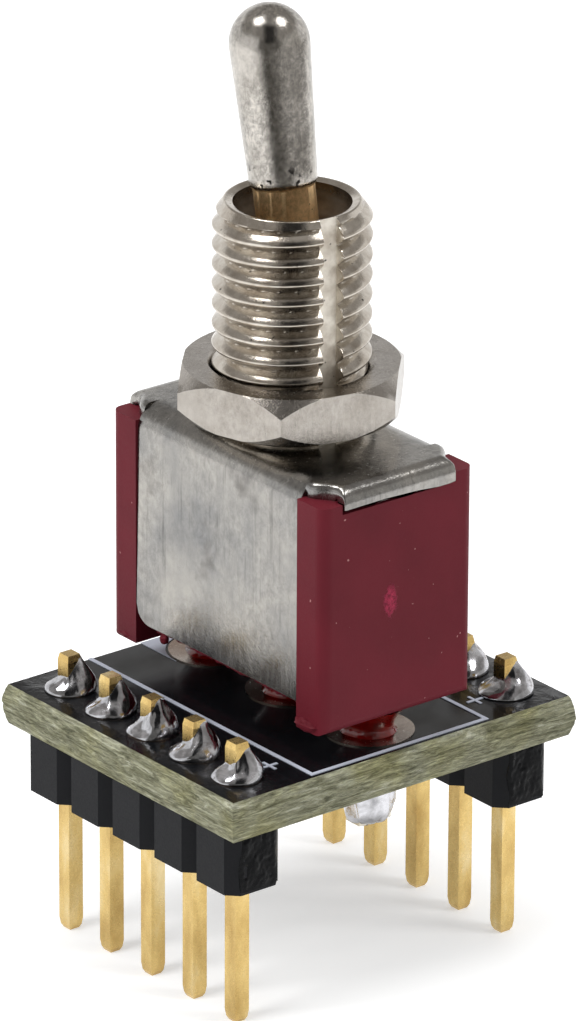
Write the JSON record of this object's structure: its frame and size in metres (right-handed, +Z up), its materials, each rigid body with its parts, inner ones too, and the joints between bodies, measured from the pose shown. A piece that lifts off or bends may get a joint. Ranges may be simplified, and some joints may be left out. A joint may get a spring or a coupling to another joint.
{
  "type": "toggle switch",
  "caption": "Miniature bat-lever toggle switch with a threaded bushing and hex nut, soldered to a small carrier board with two pin headers.",
  "frame": {"origin": "under the middle of the board, in the plane of the ten pin tips it stands on", "axes": "+Z up along the bushing, X across the two pin rows, Y along the pin rows and along the row of terminals; the keyway faces -Y and the lever leans to +Y at rest"},
  "size_m": [0.0164, 0.0142, 0.0365],
  "materials": {
    "lever_nickel": "satin nickel plate",
    "steel": "bright",
    "plunger_plastic": "matte",
    "bushing_nickel": "satin nickel plate",
    "nut_nickel": "satin nickel plate",
    "sheet_nickel": "mottled nickel plate, scratched",
    "red_plastic": "satin moulded",
    "contact_silver": "satin",
    "terminal_brass": "tinned",
    "red_resin": "glossy",
    "board": "black mask, bare glass fibre edges",
    "white_ink": "matte",
    "pad_tin": "tinned",
    "black_plastic": "matte",
    "pin_gold": "gold plate",
    "solder": "bright, irregular"
  },
  "bodies": {
    "base": {"bushing": "bushing_nickel", "frame": "sheet_nickel", "housing": "red_plastic", "terminal_front": "terminal_brass", "terminal_centre": "terminal_brass", "terminal_rear": "terminal_brass", "contact_front": "contact_silver", "contact_rear": "contact_silver", "seal_front": "red_resin", "seal_centre": "red_resin", "seal_rear": "red_resin", "circuit_board": "board", "board_legend": "white_ink", "header_pads": "pad_tin", "terminal_pads": "pad_tin", "header_left": "black_plastic", "header_right": "black_plastic", "pin_left_1": "pin_gold", "pin_left_2": "pin_gold", "pin_left_3": "pin_gold", "pin_left_4": "pin_gold", "pin_left_5": "pin_gold", "pin_right_1": "pin_gold", "pin_right_2": "pin_gold", "pin_right_3": "pin_gold", "pin_right_4": "pin_gold", "pin_right_5": "pin_gold", "solder_left": "solder", "solder_right": "solder", "solder_front": "solder", "solder_centre": "solder", "solder_rear": "solder"},
    "toggle": {"lever": "lever_nickel", "pivot_pin": "steel", "plunger_spring": "steel"},
    "plunger": {"plunger": "plunger_plastic"},
    "rocker": {"rocker_contact": "contact_silver"},
    "nut": {"mounting_nut": "nut_nickel"}
  },
  "joints": [
    {"name": "lever_throw", "type": "hinge", "parent": "base", "child": "toggle", "pos_m": [0.0001, 0.00002, 0.02664], "axis": [1, 0, 0], "range_deg": [0, 18.8]},
    {"name": "plunger_travel", "type": "slide", "parent": "toggle", "child": "plunger", "axis": [0, 0.1633, 0.9866], "range_m": [0, 0.0006], "stiffness_N_per_m": 400, "springref_m": -0.0008, "deforming": ["plunger_spring"]},
    {"name": "rocker_tip", "type": "hinge", "parent": "base", "child": "rocker", "pos_m": [0.0001, 0.00002, 0.01389], "axis": [1, 0, 0], "range_deg": [-13, 0]},
    {"name": "nut_turn", "type": "hinge", "parent": "base", "child": "nut", "pos_m": [0.0001, 0.00002, 0.02214], "axis": [0, 0, 1], "continuous": true}
  ],
  "couplings": [
    {"joint": "rocker_tip", "follows": "lever_throw", "ratio": -0.69}
  ]
}
